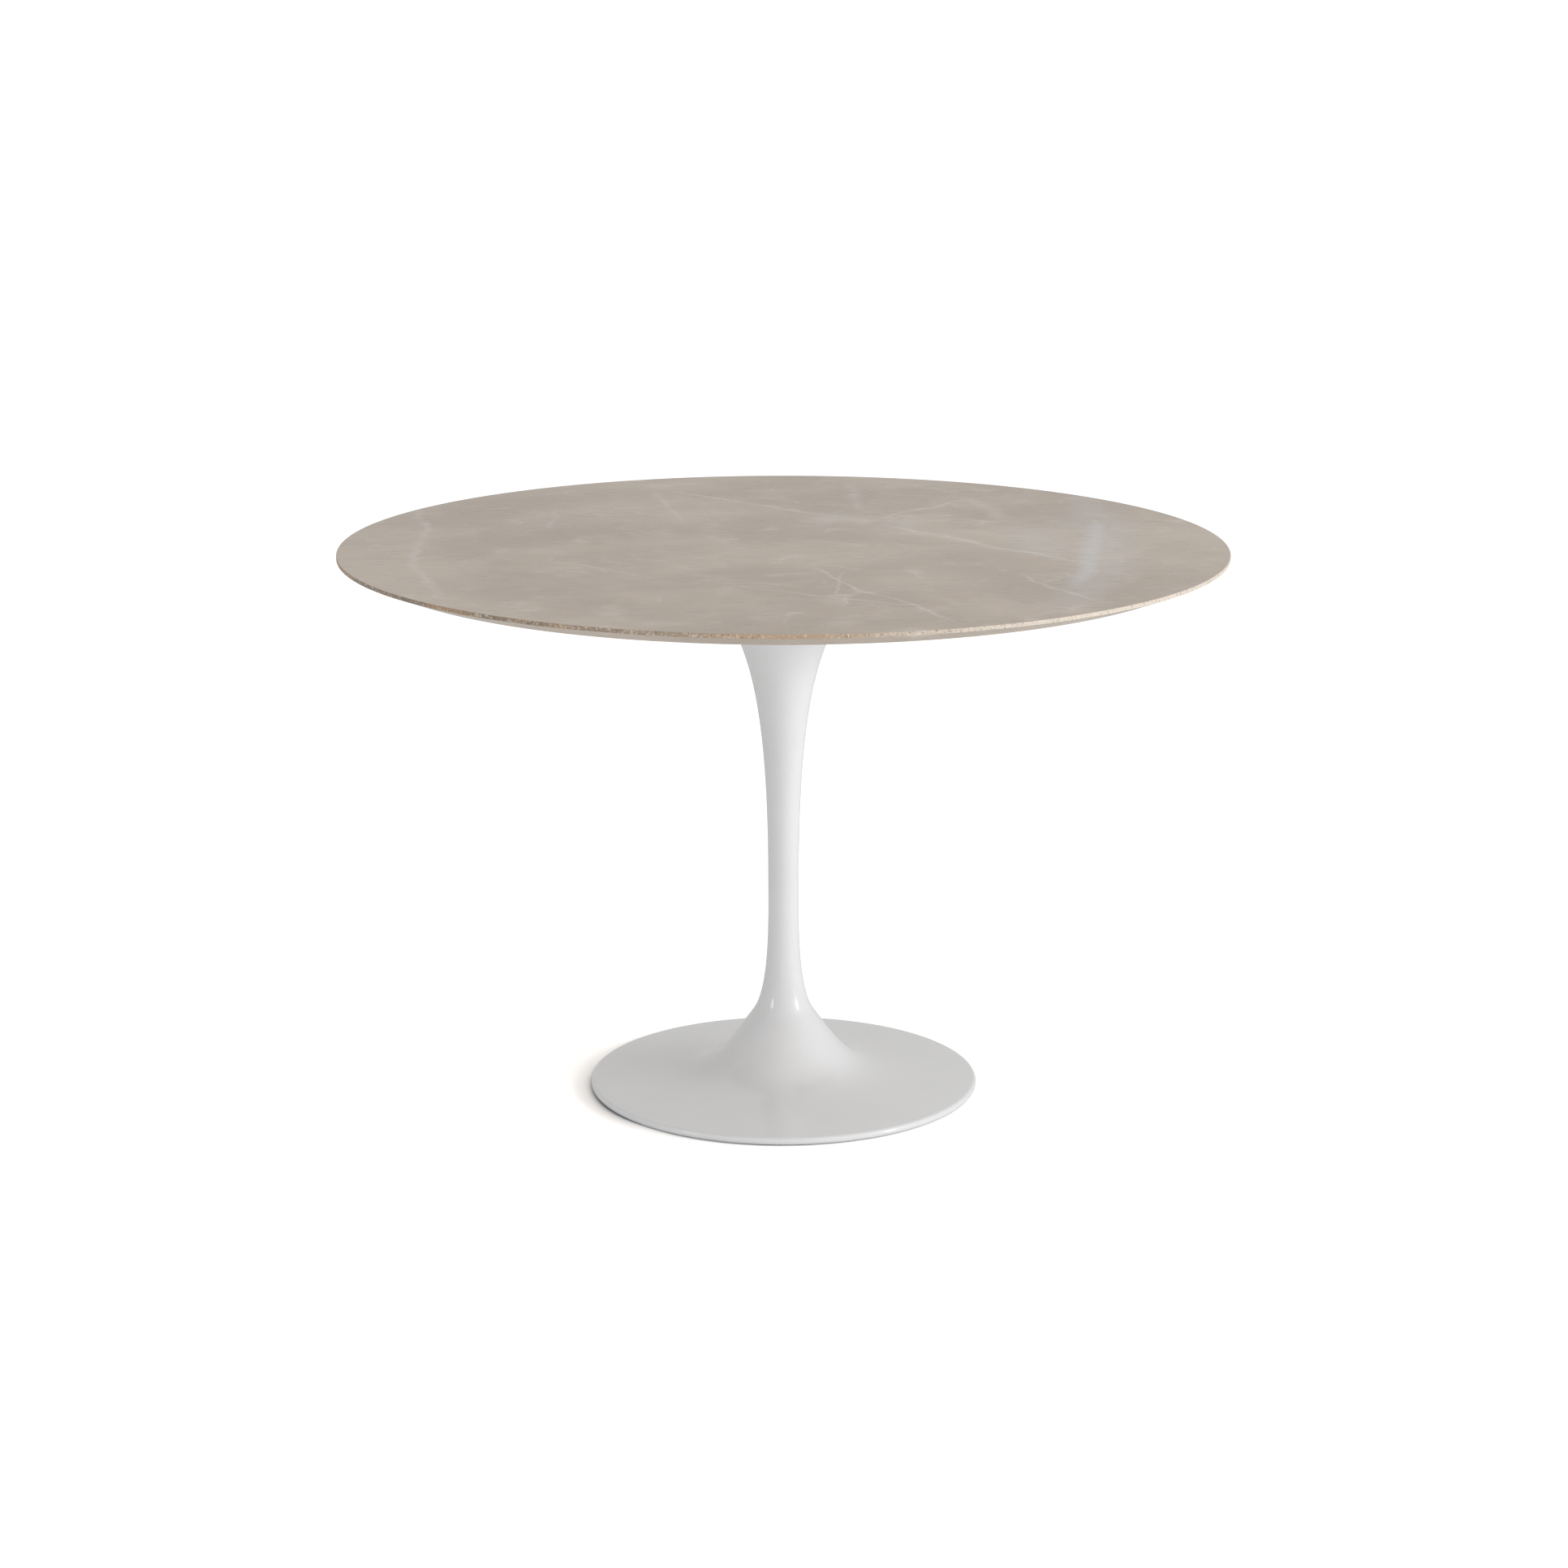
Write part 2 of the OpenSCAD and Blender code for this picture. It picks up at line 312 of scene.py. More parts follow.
vein_group.links.new(calc(vein_group, "MULTIPLY", beside, ends), made["Mask"])

# Where the veins, cool bands and dark patches of this slab run: centre x and y, heading in degrees,
# half length, half width, bow and strength. Lengths are in metres.
pale_veins = (
    (-0.017, 0.312, -42.7, 0.240, 0.009, 0.0, 0.55),
    (0.262, 0.025, -49.0, 0.235, 0.0055, 0.15, 1.00),
    (0.262, 0.025, -49.0, 0.220, 0.022, 0.15, 0.30),
    (-0.490, -0.030, -83.0, 0.400, 0.010, 0.10, 0.42),
    (0.112, -0.334, -64.6, 0.240, 0.0055, 0.10, 0.65),
    (0.077, -0.282, -90.0, 0.090, 0.004, 0.0, 0.50),
    (0.051, -0.365, -30.4, 0.150, 0.0055, 0.0, 0.55),
    (0.343, -0.287, -62.0, 0.110, 0.006, 0.0, 0.55),
    (0.197, 0.291, 55.0, 0.140, 0.007, 0.3, 0.55),
    (-0.163, 0.321, -76.0, 0.150, 0.009, 0.0, 0.35),
    (-0.321, 0.214, -90.0, 0.110, 0.009, 0.0, 0.35),
    (0.285, 0.300, -73.0, 0.130, 0.020, 0.0, 0.35),
    (0.100, 0.407, -88.0, 0.150, 0.014, 0.0, 0.35),
    (-0.230, -0.180, -40.0, 0.090, 0.006, 0.0, 0.40),
    (-0.060, -0.250, -35.0, 0.120, 0.010, 0.0, 0.25),
    (0.120, 0.197, -20.0, 0.110, 0.060, 0.0, 0.40),
)
cool_bands = (
    (0.407, -0.040, -97.0, 0.300, 0.026, -0.18, 0.62),
    (0.424, -0.056, -97.0, 0.440, 0.060, -0.18, 0.28),
    (0.345, 0.040, -85.0, 0.130, 0.060, 0.0, 0.20),
    (0.430, 0.300, -100.0, 0.260, 0.055, 0.0, 0.25),
)
dark_patches = (
    (0.290, -0.210, -70.0, 0.260, 0.150, 0.0, 0.80),
    (-0.250, -0.300, 10.0, 0.200, 0.120, 0.0, 0.55),
    (-0.370, 0.080, 20.0, 0.160, 0.100, 0.0, 0.40),
    (0.130, 0.080, -40.0, 0.160, 0.050, 0.0, 0.40),
)


def placed(tree, group, inputs):
    """Places a node group in a material or in another group."""
    node = tree.nodes.new("ShaderNodeGroup")
    node.node_tree = group
    for name, value in inputs.items():
        if isinstance(value, bpy.types.NodeSocket):
            tree.links.new(value, node.inputs[name])
        else:
            node.inputs[name].default_value = value
    return node.outputs


def laid(tree, place, runs):
    """The strongest of several veins at each point of the stone."""
    total = None
    for x, y, heading, half_length, half_width, bow, strength in runs:
        mask = placed(tree, vein_group, {
            "Place": place,
            "Centre": (x, y, stone_high.z),
            "Heading": math.radians(-heading),
            "Half Length": half_length,
            "Half Width": half_width,
            "Bow": bow,
        })["Mask"]
        mask = calc(tree, "MULTIPLY", mask, strength)
        total = mask if total is None else calc(tree, "MAXIMUM", total, mask)
    return total


# The body of the stone: clouds of grey-brown, fine grain along X, hairline crackle and veins.
stone_group, given, made = group_named(
    "marble", (("Place", "Vector"),), (("Colour", "Color"), ("Grain", "Float"), ("Veins", "Float")),
)
place = given["Place"]
slow = noise(stone_group, place, 4.0, 3.0).outputs["Color"]
quick = noise(stone_group, place, 26.0, 4.0).outputs["Color"]
half = (0.5, 0.5, 0.5)
slow = put(stone_group, "ShaderNodeVectorMath", {0: slow, 1: half}, operation="SUBTRACT").outputs[0]
quick = put(stone_group, "ShaderNodeVectorMath", {0: quick, 1: half}, operation="SUBTRACT").outputs[0]
drift = {0: slow, 1: (0.09, 0.09, 0.02), 2: place}
warped = put(stone_group, "ShaderNodeVectorMath", drift, operation="MULTIPLY_ADD").outputs[0]
shiver = {0: quick, 1: (0.016, 0.016, 0.01), 2: warped}
warped = put(stone_group, "ShaderNodeVectorMath", shiver, operation="MULTIPLY_ADD").outputs[0]
clouds = noise(stone_group, warped, 3.2, 5.0, 0.6).outputs["Fac"]
mottle = noise(stone_group, warped, 17.0, 6.0, 0.62, 0.5).outputs["Fac"]
stretch = {0: place, 1: (1.0, 5.0, 9.0)}
long_place = put(stone_group, "ShaderNodeVectorMath", stretch, operation="MULTIPLY").outputs[0]
grain = noise(stone_group, long_place, 30.0, 4.0, 0.66, 0.2).outputs["Fac"]
specks = noise(stone_group, place, 260.0, 2.0, 0.5).outputs["Fac"]
cells = {"Vector": warped, "Scale": 9.0}
cracks = put(stone_group, "ShaderNodeTexVoronoi", cells, feature="DISTANCE_TO_EDGE").outputs["Distance"]
hairlines = span(stone_group, cracks, 0.030, 0.0)
hairlines = calc(stone_group, "MULTIPLY", hairlines, span(stone_group, mottle, 0.48, 0.66, 0.0, 0.30))
pale = laid(stone_group, warped, pale_veins)
cool = laid(stone_group, warped, cool_bands)
dark = laid(stone_group, warped, dark_patches)
broken = span(stone_group, mottle, 0.30, 0.55, 0.32, 0.72)
pale = calc(stone_group, "MULTIPLY", pale, broken)
cloudy = span(stone_group, clouds, 0.36, 0.64)
body = blend(stone_group, cloudy, (0.452, 0.366, 0.286, 1), (0.560, 0.466, 0.373, 1))
mottled = span(stone_group, mottle, 0.50, 0.74, 0.0, 0.45)
body = blend(stone_group, mottled, body, (0.660, 0.577, 0.493, 1))
body = blend(stone_group, calc(stone_group, "MULTIPLY", dark, 0.7), body, (0.415, 0.332, 0.265, 1))
body = blend(stone_group, cool, body, (0.650, 0.640, 0.645, 1))
lines = calc(stone_group, "MAXIMUM", pale, hairlines)
body = blend(stone_group, lines, body, (0.775, 0.720, 0.655, 1))
shade = span(stone_group, grain, 0.30, 0.70, 0.90, 1.11)
body = blend(stone_group, 1.0, body, shade, "MULTIPLY")
flecks = span(stone_group, specks, 0.30, 0.70, 0.97, 1.03)
body = blend(stone_group, 1.0, body, flecks, "MULTIPLY")
stone_group.links.new(body, made["Colour"])
stone_group.links.new(grain, made["Grain"])
stone_group.links.new(pale, made["Veins"])

face_finish, tree, shader, place = finish_named("marble_face")
marble = placed(tree, stone_group, {"Place": place})
tree.links.new(marble["Colour"], shader.inputs["Base Color"])
tree.links.new(span(tree, marble["Grain"], 0.30, 0.70, 0.27, 0.37), shader.inputs["Roughness"])
shader.inputs["IOR"].default_value = 1.48
relief = put(tree, "ShaderNodeBump", {"Height": marble["Grain"], "Strength": 0.04, "Distance": 0.0004})
tree.links.new(relief.outputs["Normal"], shader.inputs["Normal"])

edge_finish, tree, shader, place = finish_named("marble_edge")
marble = placed(tree, stone_group, {"Place": place})
crystals = put(tree, "ShaderNodeTexVoronoi", {"Vector": place, "Scale": 420.0}, feature="F1").outputs["Color"]
crystal_tone = put(tree, "ShaderNodeSeparateXYZ", {0: crystals}).outputs["X"]
rust = span(tree, noise(tree, place, 9.0, 5.0, 0.65).outputs["Fac"], 0.46, 0.62)
across = put(tree, "ShaderNodeSeparateXYZ", {0: place}).outputs["X"]
# Along X the edge is painted with shade on its left and with light on its right, as from the lamp at the
# right, over the stone's own tone. The rust, crystals and pits are the stone's own.
edge_tone_and_painted_light = blend(tree, span(tree, across, -0.42, 0.02), (0.225, 0.168, 0.122, 1), (0.420, 0.325, 0.232, 1))
edge_tone_and_painted_light = blend(tree, span(tree, across, 0.00, 0.30), edge_tone_and_painted_light, (0.660, 0.590, 0.510, 1))
rusty = calc(tree, "MULTIPLY", rust, span(tree, across, 0.16, -0.02, 0.0, 0.6))
edge_tone_and_painted_light = blend(tree, rusty, edge_tone_and_painted_light, (0.500, 0.315, 0.170, 1))
bright_spots = span(tree, crystal_tone, 0.60, 0.95, 0.0, 0.55)
edge_tone_and_painted_light = blend(tree, bright_spots, edge_tone_and_painted_light, (0.760, 0.690, 0.600, 1))
pits = noise(tree, place, 330.0, 3.0, 0.6).outputs["Fac"]
edge_tone_and_painted_light = blend(tree, span(tree, pits, 0.55, 0.68, 0.0, 0.75), edge_tone_and_painted_light, (0.120, 0.085, 0.060, 1))
edge_tone_and_painted_light = blend(tree, 0.15, edge_tone_and_painted_light, marble["Colour"])
tree.links.new(edge_tone_and_painted_light, shader.inputs["Base Color"])
shader.inputs["Roughness"].default_value = 0.5
shader.inputs["IOR"].default_value = 1.48
relief = put(tree, "ShaderNodeBump", {"Height": crystal_tone, "Strength": 0.15, "Distance": 0.0003})
tree.links.new(relief.outputs["Normal"], shader.inputs["Normal"])

stone.data.materials.clear()
stone.data.materials.append(face_finish)
stone.data.materials.append(edge_finish)
for face in stone.data.polygons:
    upright = face.center.z > stone_high.z - edge_h - 0.0004 and abs(face.normal.z) < 0.6
    face.material_index = 1 if upright and face.center.xy.length > stone_r - 0.002 else 0
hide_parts("table_top")
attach(stone, "table")


# ---- Pedestal ----
# One iron casting from the flared head down to the foot, fettled, filled and sprayed with many
# coats of white lacquer, then polished. It is hollow, with a web and ribs inside the foot.
wall = 0.006
casting_low, casting_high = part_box("pedestal_casting")
foot_r, foot_z, head_z = casting_high.x, casting_low.z, casting_high.z
rim_r = 0.00525
head_r = 0.128
waist_r = 0.02125
waist_z = 0.294
rim_c = foot_r - rim_r
knee = (waist_r + 0.0214, 0.1064)
foot_curve = ((rim_c, foot_z + 2 * rim_r), (0.103, 0.0295), (0.107, 0.0165), knee)
ankle_curve = (knee, (0.0181, 0.1395), (waist_r, 0.250), (waist_r, waist_z))
head_curve = ((waist_r, waist_z), (waist_r, waist_z + 0.337), (0.0703, head_z - 0.074), (head_r, head_z))


def along_curve(p, t, inward=0.0):
    """A point on a cubic curve, moved inward square to it."""
    s = 1 - t
    x, z = (s**3 * a + 3 * s * s * t * b + 3 * s * t * t * c + t**3 * d for a, b, c, d in zip(*p))
    dx, dz = (s * s * (b - a) + 2 * s * t * (c - b) + t * t * (d - c) for a, b, c, d in zip(*p))
    length = math.hypot(dx, dz)
    return x - inward * dz / length, z + inward * dx / length


def turned(name, outline, steps=96):
    """Draws an outline of radius and height point by point, and spins it once round the Z axis."""
    bpy.ops.object.select_all(action="DESELECT")
    bpy.ops.mesh.primitive_plane_add(size=0.001)
    piece = bpy.context.object
    piece.name = name
    bpy.ops.object.mode_set(mode="EDIT")
    bpy.ops.mesh.select_mode(type="VERT")
    bpy.ops.mesh.select_all(action="SELECT")
    bpy.ops.mesh.merge(type="CENTER")
    bpy.ops.transform.translate(value=(outline[0][0], 0, outline[0][1]))
    for (r0, z0), (r1, z1) in zip(outline, outline[1:]):
        bpy.ops.mesh.extrude_vertices_move(TRANSFORM_OT_translate={"value": (r1 - r0, 0, z1 - z0)})
    bpy.ops.mesh.select_all(action="SELECT")
    bpy.ops.mesh.spin(steps=steps, angle=math.tau, center=(0, 0, 0), axis=(0, 0, 1))
    bpy.ops.mesh.select_all(action="SELECT")
    bpy.ops.mesh.remove_doubles(threshold=1e-6)
    bpy.ops.mesh.normals_make_consistent(inside=False)
    bpy.ops.object.mode_set(mode="OBJECT")
    return piece


def curve_points(p, count, inward=0.0, first=0):
    """Evenly stepped points along one of the pedestal's curves."""
    return [along_curve(p, i / count, inward) for i in range(first, count + 1)]


recess_z, cover_t, cover_r = 0.005, 0.0015, 0.185
glide_in_r, glide_out_r, glide_h, glide_play = 0.2463, 0.258, 0.007, 0.0004
cavity_r, web_z, web_t, rod_hole_r = 0.168, 0.062, 0.010, 0.0088
seat_r, seat_h = 0.096, 0.016
rib_n, rib_in_r, rib_t, rib_z = 8, 0.048, 0.005, 0.012
bush_r, bush_h, leveller_pcr = 0.0065, 0.0088, 0.205
cover_tap_r, cover_tap_h, cover_screw_pcr = 0.00205, 0.010, 0.176
dowel_r, dowel_h, dowel_pcr = 0.003, 0.008, 0.104
rim_arc = [
    (rim_c + rim_r * math.cos(math.radians(a)), foot_z + rim_r + rim_r * math.sin(math.radians(a)))
    for a in range(-90, 91, 12)
]
outside = rim_arc + curve_points(foot_curve, 48, first=1) + curve_points(ankle_curve, 28, first=1)
outside += curve_points(head_curve, 56, first=1)
inside = curve_points(foot_curve, 32, wall) + curve_points(ankle_curve, 16, wall, 1)
inside += curve_points(head_curve, 32, wall, 1)
under_web = [p for p in inside if p[0] < cavity_r and p[1] < web_z - 0.001]
over_web = [p for p in inside if web_z + web_t + 0.001 < p[1] < head_z - seat_h - 0.002]
underside = [
    (glide_out_r + glide_play, foot_z),
    (glide_out_r + glide_play, glide_h),
    (glide_in_r - glide_play, glide_h),
    (glide_in_r - glide_play, recess_z),
    (cover_r, recess_z),
    (cover_r, recess_z + cover_t),
    (cavity_r, recess_z + cover_t),
    (cavity_r, under_web[0][1]),
]
web = [(rod_hole_r, web_z), (rod_hole_r, web_z + web_t)]
web = [(under_web[-1][0] - 0.001, web_z)] + web + [(over_web[0][0] + 0.001, web_z + web_t)]
head = [(over_web[-1][0], head_z - seat_h), (seat_r, head_z - seat_h), (seat_r, head_z), (head_r, head_z)]
section = list(reversed(underside)) + outside[:-1]
section = head[::-1] + over_web[::-1] + web[::-1] + under_web[::-1] + section + [outside[-1]]
pedestal = turned("pedestal", section, 160)
seat_top, tap_top = recess_z + bush_h, recess_z + cover_tap_h
cut(pedestal, ring_of_rods("bush_seats", 4, leveller_pcr, bush_r, recess_z - past, seat_top, 45))
cut(pedestal, ring_of_rods("cover_screw_holes", 4, cover_screw_pcr, cover_tap_r, recess_z, tap_top, 22.5))
cut(pedestal, ring_of_rods("pin_holes", 2, dowel_pcr, dowel_r, head_z - dowel_h, head_z + past))

# Eight ribs run out under the web, trimmed to the inside of the foot and cast in one with it.
space = [p for p in curve_points(foot_curve, 32, wall / 2) if p[0] < 0.19 and p[1] < web_z + 0.004]
space = [(0, rib_z - 0.004), (0.19, rib_z - 0.004)] + space + [(0, space[-1][1] + 0.001)]
trimmer = turned("rib_trimmer", space)
rib_top = web_z + past
middle_r = (rib_in_r + cavity_r) / 2
ribs = []
for i in range(rib_n):
    a = i * math.tau / rib_n
    middle = (middle_r * math.cos(a), middle_r * math.sin(a), (rib_z + rib_top) / 2)
    bpy.ops.object.select_all(action="DESELECT")
    bpy.ops.mesh.primitive_cube_add(size=1, location=middle, rotation=(0, 0, a))
    rib = bpy.context.object
    rib.scale = (cavity_r - rib_in_r, rib_t, rib_top - rib_z)
    bpy.ops.object.transform_apply(location=True, rotation=True, scale=True)
    apply(rib, "BOOLEAN", operation="INTERSECT", object=trimmer, solver="EXACT")
    ribs.append(rib)
bpy.data.objects.remove(trimmer)
bpy.ops.object.select_all(action="DESELECT")
for rib in ribs + [pedestal]:
    rib.select_set(True)
bpy.context.view_layer.objects.active = pedestal
bpy.ops.object.join()
smooth(pedestal)

# The slow change of tone and the slight unevenness of sprayed lacquer.
lacquer_group, given, made = group_named(
    "lacquer_surface", (("Place", "Vector"), ("Peel", "Float")), (("Tone", "Float"), ("Height", "Float")),
)
peel = noise(lacquer_group, given["Place"], 420.0, 2.0, 0.4).outputs["Fac"]
wide = noise(lacquer_group, given["Place"], 9.0, 3.0, 0.5).outputs["Fac"]
lacquer_group.links.new(span(lacquer_group, wide, 0.3, 0.7, 0.0, 1.0), made["Tone"])
lacquer_group.links.new(calc(lacquer_group, "MULTIPLY", peel, given["Peel"]), made["Height"])

lacquer, tree, shader, place = finish_named("white_lacquer")
coat = placed(tree, lacquer_group, {"Place": place, "Peel": 1.0})
white = blend(tree, coat["Tone"], (0.755, 0.762, 0.774, 1), (0.780, 0.788, 0.800, 1))
tree.links.new(white, shader.inputs["Base Color"])
tree.links.new(span(tree, coat["Tone"], 0.0, 1.0, 0.30, 0.36), shader.inputs["Roughness"])
shader.inputs["Specular IOR Level"].default_value = 0.35
shader.inputs["Coat Weight"].default_value = 1.0
shader.inputs["Coat Roughness"].default_value = 0.05
shader.inputs["Coat IOR"].default_value = 1.5
relief = put(tree, "ShaderNodeBump", {"Height": coat["Height"], "Strength": 0.05, "Distance": 0.0002})
tree.links.new(relief.outputs["Normal"], shader.inputs["Normal"])
pedestal.data.materials.append(lacquer)
glossed.objects.link(pedestal)
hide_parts("pedestal_casting")
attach(pedestal, "table")


# ---- Mounting plate and sheet ----
# A turned disc of 6 mm steel, powder-coated white, with a threaded hub welded under its middle.
# A 2 mm sheet of rubber-bound cork lies between it and the stone.
plate_low, plate_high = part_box("mounting_plate")
sheet_low, sheet_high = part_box("isolation_sheet")
hub_low, hub_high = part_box("plate_hub")
plate_hole_r = 0.0034
dowel_in_plate = 0.004


def disc_outline(radius, low, high, edge):
    """Half the outline of a solid disc with its two edges chamfered."""
    rim = [(radius - edge, low), (radius, low + edge), (radius, high - edge), (radius - edge, high)]
    return [(0, low)] + rim + [(0, high)]


def ring_outline(r_in, r_out, low, high, edge):
    """The closed outline of a ring with its four edges chamfered."""
    inner = [(r_in + edge, high), (r_in, high - edge), (r_in, low + edge), (r_in + edge, low)]
    return inner + disc_outline(r_out, low, high, edge)[1:-1] + inner[:1]


metal_group, given, made = group_named(
    "metal_surface",
    (("Place", "Vector"), ("Grain", "Float"), ("Wear", "Float")),
    (("Tone", "Float"), ("Scuff", "Float"), ("Height", "Float")),
)
blotch = noise(metal_group, given["Place"], 34.0, 4.0, 0.6).outputs["Fac"]
fine = noise(metal_group, given["Place"], given["Grain"], 3.0, 0.6).outputs["Fac"]
swirl = noise(metal_group, given["Place"], 190.0, 5.0, 0.75, 2.5).outputs["Fac"]
worn = span(metal_group, swirl, 0.56, 0.60)
worn = calc(metal_group, "MULTIPLY", worn, span(metal_group, blotch, 0.42, 0.62))
metal_group.links.new(span(metal_group, blotch, 0.3, 0.7), made["Tone"])
metal_group.links.new(calc(metal_group, "MULTIPLY", worn, given["Wear"]), made["Scuff"])
metal_group.links.new(calc(metal_group, "MULTIPLY_ADD", worn, -0.3, fine), made["Height"])


def metal(name, dark, light, worn_colour, rough, grain=900.0, wear=0.6, bump=0.12, metallic=1.0):
    """A metal or coated finish: two tones in slow blotches, small scuffs and a fine grain."""
    finish, tree, shader, place = finish_named(name)
    skin = placed(tree, metal_group, {"Place": place, "Grain": grain, "Wear": wear})
    tone = blend(tree, skin["Tone"], dark, light)
    tree.links.new(blend(tree, skin["Scuff"], tone, worn_colour), shader.inputs["Base Color"])
    matt = span(tree, skin["Tone"], 0.0, 1.0, rough - 0.05, rough + 0.06)
    tree.links.new(calc(tree, "MULTIPLY_ADD", skin["Scuff"], 0.12, matt), shader.inputs["Roughness"])
    shader.inputs["Metallic"].default_value = metallic
    relief = put(tree, "ShaderNodeBump", {"Height": skin["Height"], "Strength": bump, "Distance": 0.0002})
    tree.links.new(relief.outputs["Normal"], shader.inputs["Normal"])
    return finish


def finished(piece, node, material, body="table"):
    """Gives a piece its material, stands it in for its part and puts it on its body."""
    piece.data.materials.clear()
    piece.data.materials.append(material)
    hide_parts(node)
    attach(piece, body)


plate = turned("mounting_plate_look", disc_outline(plate_high.x, plate_low.z, plate_high.z, 0.0006), 160)
under, over = plate_low.z - 2 * past, plate_high.z + 2 * past
cut(plate, ring_of_rods("plate_holes", screw_n, screw_pcr, plate_hole_r, under, over))
cut(plate, ring_of_rods("dowel_holes", 2, dowel_pcr, dowel_r, under, plate_low.z + dowel_in_plate))
smooth(plate)
powder = metal(
    "white_powder_coat",
    (0.735, 0.735, 0.730, 1),
    (0.790, 0.790, 0.785, 1),
    (0.68, 0.68, 0.67, 1),
    0.46,
    grain=1400.0,
    wear=0.25,
    bump=0.35,
    metallic=0.0,
)
finished(plate, "mounting_plate", powder)

sheet = turned("isolation_sheet_look", disc_outline(sheet_high.x, sheet_low.z, sheet_high.z, 0.0002), 160)
under, over = sheet_low.z - 2 * past, sheet_high.z + 2 * past
cut(sheet, ring_of_rods("sheet_holes", screw_n, screw_pcr, plate_hole_r, under, over))
smooth(sheet)
cork, tree, shader, place = finish_named("rubber_bound_cork")
crumb = {"Vector": place, "Scale": 620.0}
cells = put(tree, "ShaderNodeTexVoronoi", crumb, feature="F1").outputs["Color"]
grain_tone = put(tree, "ShaderNodeSeparateXYZ", {0: cells}).outputs["X"]
tone = blend(tree, grain_tone, (0.30, 0.17, 0.085, 1), (0.46, 0.29, 0.155, 1))
gaps = put(tree, "ShaderNodeTexVoronoi", crumb, feature="DISTANCE_TO_EDGE").outputs["Distance"]
binder = span(tree, gaps, 0.10, 0.02)
tree.links.new(blend(tree, binder, tone, (0.045, 0.038, 0.032, 1)), shader.inputs["Base Color"])
tree.links.new(span(tree, grain_tone, 0.0, 1.0, 0.80, 0.92), shader.inputs["Roughness"])
relief = put(tree, "ShaderNodeBump", {"Height": gaps, "Strength": 0.5, "Distance": 0.0003})
tree.links.new(relief.outputs["Normal"], shader.inputs["Normal"])
finished(sheet, "isolation_sheet", cork)

hub_outline = ring_outline(0.00805, hub_high.x, hub_low.z, hub_high.z, 0.001)
hub = turned("plate_hub_look", hub_outline)
smooth(hub)
steel = metal("bare_steel", (0.36, 0.36, 0.37, 1), (0.50, 0.50, 0.51, 1), (0.62, 0.62, 0.63, 1), 0.34)
finished(hub, "plate_hub", steel)


# ---- Inserts, plate screws and washers ----
# Brass threaded inserts are glued into the stone, and M6 button-head screws come up through the
# plate into them, each on a washer. The screws and washers are zinc-plated.
insert_low, insert_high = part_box("top_inserts")
m6_r, m6_root_r, m6_pitch = 0.0030, 0.00245, 0.001
button_r, button_h = 0.005, 0.0040
key_4_r, plate_key_depth = 0.00231, 0.0026
washer_t = 0.0016
screw_head_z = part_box("plate_screws")[0].z
screw_tip_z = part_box("plate_screws")[1].z


def around(piece, count, ring_r, turn=0.0):
    """Sets copies of a piece out on a circle round the Z axis and joins them into one."""
    bpy.ops.object.select_all(action="DESELECT")
    copies = []
    for i in range(count):
        a = math.radians(turn) + i * math.tau / count
        twin = piece.copy()
        twin.data = piece.data.copy()
        bpy.context.collection.objects.link(twin)
        twin.location = (ring_r * math.cos(a), ring_r * math.sin(a), 0)
        twin.rotation_euler = (0, 0, a)
        copies.append(twin)
    name = piece.name
    bpy.data.objects.remove(piece)
    for twin in copies:
        twin.select_set(True)
    bpy.context.view_layer.objects.active = copies[0]
    if count > 1:
        bpy.ops.object.join()
    bpy.ops.object.transform_apply(location=True, rotation=True, scale=True)
    bpy.context.object.name = name
    return bpy.context.object


def hex_tool(radius, low, high):
    """A six-sided cutter for a key's socket."""
    bpy.ops.object.select_all(action="DESELECT")
    middle = (0, 0, (low + high) / 2)
    bpy.ops.mesh.primitive_cylinder_add(vertices=6, radius=radius, depth=high - low, location=middle)
    bpy.ops.object.transform_apply(location=True)
    return bpy.context.object


def grooves(r_top, r_root, low, high, pitch):
    """The outline of a thread's flanks, as evenly spaced grooves from low to high."""
    turns = round((high - low) / pitch)
    points = []
    for i in range(turns):
        z = low + i * pitch
        points += [(r_top, z), (r_top, z + 0.2 * pitch)]
        points += [(r_root, z + 0.55 * pitch), (r_root, z + 0.65 * pitch)]
    return points + [(r_top, low + turns * pitch)]


knurled = grooves(insert_r, 0.0056, insert_low.z + 0.001, insert_high.z - 0.001, 0.001)
insert_outline = [(0.0035, insert_low.z), (0.0057, insert_low.z)] + knurled
insert_outline += [(0.0057, insert_high.z), (0, insert_high.z), (0, insert_high.z - 0.001)]
insert_outline += grooves(0.00305, 0.0034, insert_low.z + 0.0005, insert_high.z - 0.0015, 0.001)[::-1]
insert_outline += insert_outline[:1]
insert = turned("top_inserts_look", insert_outline, 48)
smooth(insert)
inserts = around(insert, screw_n, screw_pcr)
brass = metal("brass", (0.52, 0.36, 0.13, 1), (0.68, 0.49, 0.20, 1), (0.80, 0.64, 0.34, 1), 0.28)
finished(inserts, "top_inserts", brass)

screw_outline = [(0, screw_head_z), (0.0030, screw_head_z), (0.0040, screw_head_z + 0.0007)]
screw_outline += [(0.0046, screw_head_z + 0.0016), (button_r, screw_head_z + 0.0028)]
screw_outline += [(button_r, screw_head_z + 0.0039), (button_r - 0.0001, screw_head_z + button_h)]
screw_outline += grooves(m6_r, m6_root_r, screw_head_z + button_h, screw_tip_z - 0.0006, m6_pitch)
screw_outline += [(0.0023, screw_tip_z), (0, screw_tip_z)]
plate_screw = turned("plate_screws_look", screw_outline, 48)
cut(plate_screw, hex_tool(key_4_r, screw_head_z - past, screw_head_z + plate_key_depth))
smooth(plate_screw)
plate_screws = around(plate_screw, screw_n, screw_pcr)
zinc = metal(
    "zinc_plate", (0.56, 0.57, 0.58, 1), (0.72, 0.73, 0.75, 1), (0.82, 0.82, 0.83, 1), 0.24, bump=0.06
)
finished(plate_screws, "plate_screws", zinc)

